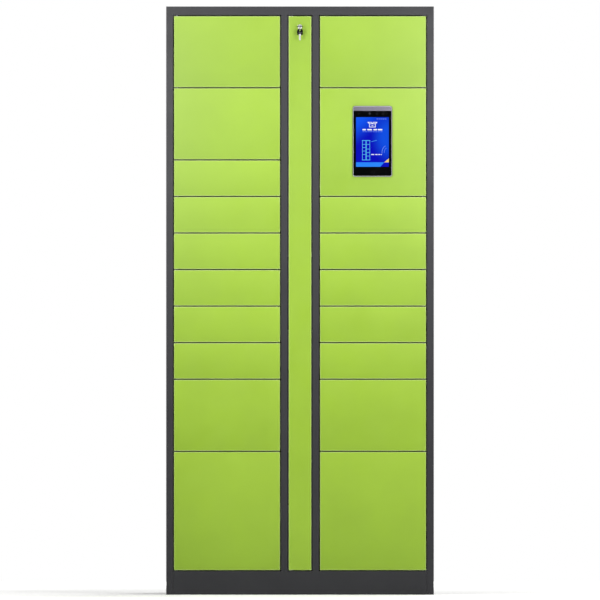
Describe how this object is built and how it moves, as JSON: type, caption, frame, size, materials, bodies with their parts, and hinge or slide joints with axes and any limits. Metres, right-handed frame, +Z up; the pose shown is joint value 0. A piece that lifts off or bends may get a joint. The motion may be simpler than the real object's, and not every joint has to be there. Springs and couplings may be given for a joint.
{
  "type": "parcel locker",
  "caption": "Floor-standing steel parcel locker: columns of hinged doors beside a locked service channel, with an operator terminal set into a door.",
  "frame": {"origin": "on the floor at the centre of the cabinet's footprint, which is the centre of the floor anchor pattern", "axes": "+Z up, +X to the right as seen facing the doors, which face -Y"},
  "size_m": [0.91, 0.5323, 2],
  "materials": {
    "cabinet_powder": "fine textured powder coat",
    "door_powder": "smooth satin powder coat",
    "galvanised": "zinc-plated sheet",
    "zinc_hardware": "zinc-plated",
    "lock_case": "die-cast",
    "bolt_steel": "ground",
    "electronics_case": "fine moulded",
    "chrome_lock": "polished",
    "key": "moulded bow on a steel blade",
    "terminal_frame": "anodised",
    "terminal_screen": "glass-smooth"
  },
  "bodies": {
    "cabinet": {"side_panel_left": "cabinet_powder", "side_panel_right": "cabinet_powder", "channel_wall_left": "cabinet_powder", "channel_wall_right": "cabinet_powder", "top_panel": "cabinet_powder", "base_panel": "galvanised", "back_panel": "galvanised", "kick_plate": "cabinet_powder", "plinth_rails": "galvanised", "levelling_feet": "zinc_hardware", "compartment_shelves": "cabinet_powder", "control_electronics": "electronics_case", "hinge_brackets": "cabinet_powder", "hinge_pins": "zinc_hardware", "lock_housings": "lock_case"},
    "door_left_01": {"door_left_01": "door_powder"},
    "latch_left_01": {"latch_left_01": "bolt_steel"},
    "door_left_02": {"door_left_02": "door_powder"},
    "latch_left_02": {"latch_left_02": "bolt_steel"},
    "door_left_03": {"door_left_03": "door_powder"},
    "latch_left_03": {"latch_left_03": "bolt_steel"},
    "door_left_04": {"door_left_04": "door_powder"},
    "latch_left_04": {"latch_left_04": "bolt_steel"},
    "door_left_05": {"door_left_05": "door_powder"},
    "latch_left_05": {"latch_left_05": "bolt_steel"},
    "door_left_06": {"door_left_06": "door_powder"},
    "latch_left_06": {"latch_left_06": "bolt_steel"},
    "door_left_07": {"door_left_07": "door_powder"},
    "latch_left_07": {"latch_left_07": "bolt_steel"},
    "door_left_08": {"door_left_08": "door_powder"},
    "latch_left_08": {"latch_left_08": "bolt_steel"},
    "door_left_09": {"door_left_09": "door_powder"},
    "latch_left_09": {"latch_left_09": "bolt_steel"},
    "door_left_10": {"door_left_10": "door_powder"},
    "latch_left_10": {"latch_left_10": "bolt_steel"},
    "door_right_01": {"door_right_01": "door_powder"},
    "latch_right_01": {"latch_right_01": "bolt_steel"},
    "door_right_02": {"door_right_02": "door_powder", "terminal_case": "terminal_frame", "terminal_glass": "terminal_screen"},
    "latch_right_02": {"latch_right_02": "bolt_steel"},
    "door_right_03": {"door_right_03": "door_powder"},
    "latch_right_03": {"latch_right_03": "bolt_steel"},
    "door_right_04": {"door_right_04": "door_powder"},
    "latch_right_04": {"latch_right_04": "bolt_steel"},
    "door_right_05": {"door_right_05": "door_powder"},
    "latch_right_05": {"latch_right_05": "bolt_steel"},
    "door_right_06": {"door_right_06": "door_powder"},
    "latch_right_06": {"latch_right_06": "bolt_steel"},
    "door_right_07": {"door_right_07": "door_powder"},
    "latch_right_07": {"latch_right_07": "bolt_steel"},
    "door_right_08": {"door_right_08": "door_powder"},
    "latch_right_08": {"latch_right_08": "bolt_steel"},
    "door_right_09": {"door_right_09": "door_powder"},
    "latch_right_09": {"latch_right_09": "bolt_steel"},
    "cover": {"service_cover": "door_powder", "key_lock_barrel": "chrome_lock"},
    "plug": {"key_lock_plug": "chrome_lock", "service_key": "key"},
    "spare": {"spare_key": "key"}
  },
  "joints": [
    {"name": "door_left_01_hinge", "type": "hinge", "parent": "cabinet", "child": "door_left_01", "pos_m": [-0.41687, -0.242, 1.84635], "axis": [0, 0, -1], "range_deg": [0, 110]},
    {"name": "latch_left_01_slide", "type": "slide", "parent": "cabinet", "child": "latch_left_01", "axis": [0, 0, 1], "range_m": [0, 0.0065]},
    {"name": "door_left_02_hinge", "type": "hinge", "parent": "cabinet", "child": "door_left_02", "pos_m": [-0.41687, -0.242, 1.60105], "axis": [0, 0, -1], "range_deg": [0, 110]},
    {"name": "latch_left_02_slide", "type": "slide", "parent": "cabinet", "child": "latch_left_02", "axis": [0, 0, 1], "range_m": [0, 0.0065]},
    {"name": "door_left_03_hinge", "type": "hinge", "parent": "cabinet", "child": "door_left_03", "pos_m": [-0.41687, -0.242, 1.41625], "axis": [0, 0, -1], "range_deg": [0, 110]},
    {"name": "latch_left_03_slide", "type": "slide", "parent": "cabinet", "child": "latch_left_03", "axis": [0, 0, 1], "range_m": [0, 0.0065]},
    {"name": "door_left_04_hinge", "type": "hinge", "parent": "cabinet", "child": "door_left_04", "pos_m": [-0.41687, -0.242, 1.29195], "axis": [0, 0, -1], "range_deg": [0, 110]},
    {"name": "latch_left_04_slide", "type": "slide", "parent": "cabinet", "child": "latch_left_04", "axis": [0, 0, 1], "range_m": [0, 0.0065]},
    {"name": "door_left_05_hinge", "type": "hinge", "parent": "cabinet", "child": "door_left_05", "pos_m": [-0.41687, -0.242, 1.16765], "axis": [0, 0, -1], "range_deg": [0, 110]},
    {"name": "latch_left_05_slide", "type": "slide", "parent": "cabinet", "child": "latch_left_05", "axis": [0, 0, 1], "range_m": [0, 0.0065]},
    {"name": "door_left_06_hinge", "type": "hinge", "parent": "cabinet", "child": "door_left_06", "pos_m": [-0.41687, -0.242, 1.04335], "axis": [0, 0, -1], "range_deg": [0, 110]},
    {"name": "latch_left_06_slide", "type": "slide", "parent": "cabinet", "child": "latch_left_06", "axis": [0, 0, 1], "range_m": [0, 0.0065]},
    {"name": "door_left_07_hinge", "type": "hinge", "parent": "cabinet", "child": "door_left_07", "pos_m": [-0.41687, -0.242, 0.91905], "axis": [0, 0, -1], "range_deg": [0, 110]},
    {"name": "latch_left_07_slide", "type": "slide", "parent": "cabinet", "child": "latch_left_07", "axis": [0, 0, 1], "range_m": [0, 0.0065]},
    {"name": "door_left_08_hinge", "type": "hinge", "parent": "cabinet", "child": "door_left_08", "pos_m": [-0.41687, -0.242, 0.79475], "axis": [0, 0, -1], "range_deg": [0, 110]},
    {"name": "latch_left_08_slide", "type": "slide", "parent": "cabinet", "child": "latch_left_08", "axis": [0, 0, 1], "range_m": [0, 0.0065]},
    {"name": "door_left_09_hinge", "type": "hinge", "parent": "cabinet", "child": "door_left_09", "pos_m": [-0.41687, -0.242, 0.60995], "axis": [0, 0, -1], "range_deg": [0, 110]},
    {"name": "latch_left_09_slide", "type": "slide", "parent": "cabinet", "child": "latch_left_09", "axis": [0, 0, 1], "range_m": [0, 0.0065]},
    {"name": "door_left_10_hinge", "type": "hinge", "parent": "cabinet", "child": "door_left_10", "pos_m": [-0.41687, -0.242, 0.2844], "axis": [0, 0, -1], "range_deg": [0, 110]},
    {"name": "latch_left_10_slide", "type": "slide", "parent": "cabinet", "child": "latch_left_10", "axis": [0, 0, 1], "range_m": [0, 0.0065]},
    {"name": "door_right_01_hinge", "type": "hinge", "parent": "cabinet", "child": "door_right_01", "pos_m": [0.41687, -0.242, 1.84635], "axis": [0, 0, 1], "range_deg": [0, 110]},
    {"name": "latch_right_01_slide", "type": "slide", "parent": "cabinet", "child": "latch_right_01", "axis": [0, 0, 1], "range_m": [0, 0.0065]},
    {"name": "door_right_02_hinge", "type": "hinge", "parent": "cabinet", "child": "door_right_02", "pos_m": [0.41687, -0.242, 1.5389], "axis": [0, 0, 1], "range_deg": [0, 110]},
    {"name": "latch_right_02_slide", "type": "slide", "parent": "cabinet", "child": "latch_right_02", "axis": [0, 0, 1], "range_m": [0, 0.0065]},
    {"name": "door_right_03_hinge", "type": "hinge", "parent": "cabinet", "child": "door_right_03", "pos_m": [0.41687, -0.242, 1.29195], "axis": [0, 0, 1], "range_deg": [0, 110]},
    {"name": "latch_right_03_slide", "type": "slide", "parent": "cabinet", "child": "latch_right_03", "axis": [0, 0, 1], "range_m": [0, 0.0065]},
    {"name": "door_right_04_hinge", "type": "hinge", "parent": "cabinet", "child": "door_right_04", "pos_m": [0.41687, -0.242, 1.16765], "axis": [0, 0, 1], "range_deg": [0, 110]},
    {"name": "latch_right_04_slide", "type": "slide", "parent": "cabinet", "child": "latch_right_04", "axis": [0, 0, 1], "range_m": [0, 0.0065]},
    {"name": "door_right_05_hinge", "type": "hinge", "parent": "cabinet", "child": "door_right_05", "pos_m": [0.41687, -0.242, 1.04335], "axis": [0, 0, 1], "range_deg": [0, 110]},
    {"name": "latch_right_05_slide", "type": "slide", "parent": "cabinet", "child": "latch_right_05", "axis": [0, 0, 1], "range_m": [0, 0.0065]},
    {"name": "door_right_06_hinge", "type": "hinge", "parent": "cabinet", "child": "door_right_06", "pos_m": [0.41687, -0.242, 0.91905], "axis": [0, 0, 1], "range_deg": [0, 110]},
    {"name": "latch_right_06_slide", "type": "slide", "parent": "cabinet", "child": "latch_right_06", "axis": [0, 0, 1], "range_m": [0, 0.0065]},
    {"name": "door_right_07_hinge", "type": "hinge", "parent": "cabinet", "child": "door_right_07", "pos_m": [0.41687, -0.242, 0.79475], "axis": [0, 0, 1], "range_deg": [0, 110]},
    {"name": "latch_right_07_slide", "type": "slide", "parent": "cabinet", "child": "latch_right_07", "axis": [0, 0, 1], "range_m": [0, 0.0065]},
    {"name": "door_right_08_hinge", "type": "hinge", "parent": "cabinet", "child": "door_right_08", "pos_m": [0.41687, -0.242, 0.60995], "axis": [0, 0, 1], "range_deg": [0, 110]},
    {"name": "latch_right_08_slide", "type": "slide", "parent": "cabinet", "child": "latch_right_08", "axis": [0, 0, 1], "range_m": [0, 0.0065]},
    {"name": "door_right_09_hinge", "type": "hinge", "parent": "cabinet", "child": "door_right_09", "pos_m": [0.41687, -0.242, 0.2844], "axis": [0, 0, 1], "range_deg": [0, 110]},
    {"name": "latch_right_09_slide", "type": "slide", "parent": "cabinet", "child": "latch_right_09", "axis": [0, 0, 1], "range_m": [0, 0.0065]},
    {"name": "cover_hinge", "type": "hinge", "parent": "cabinet", "child": "cover", "pos_m": [-0.02687, -0.242, 1.02525], "axis": [0, 0, -1], "range_deg": [0, 90]},
    {"name": "key_turn", "type": "hinge", "parent": "cover", "child": "plug", "pos_m": [0, -0.25, 1.931], "axis": [0, -1, 0], "range_deg": [0, 90]},
    {"name": "spare_key_swing", "type": "hinge", "parent": "plug", "child": "spare", "pos_m": [0, -0.2744, 1.91775], "axis": [0, 1, 0], "range_deg": [-90, 90]}
  ]
}
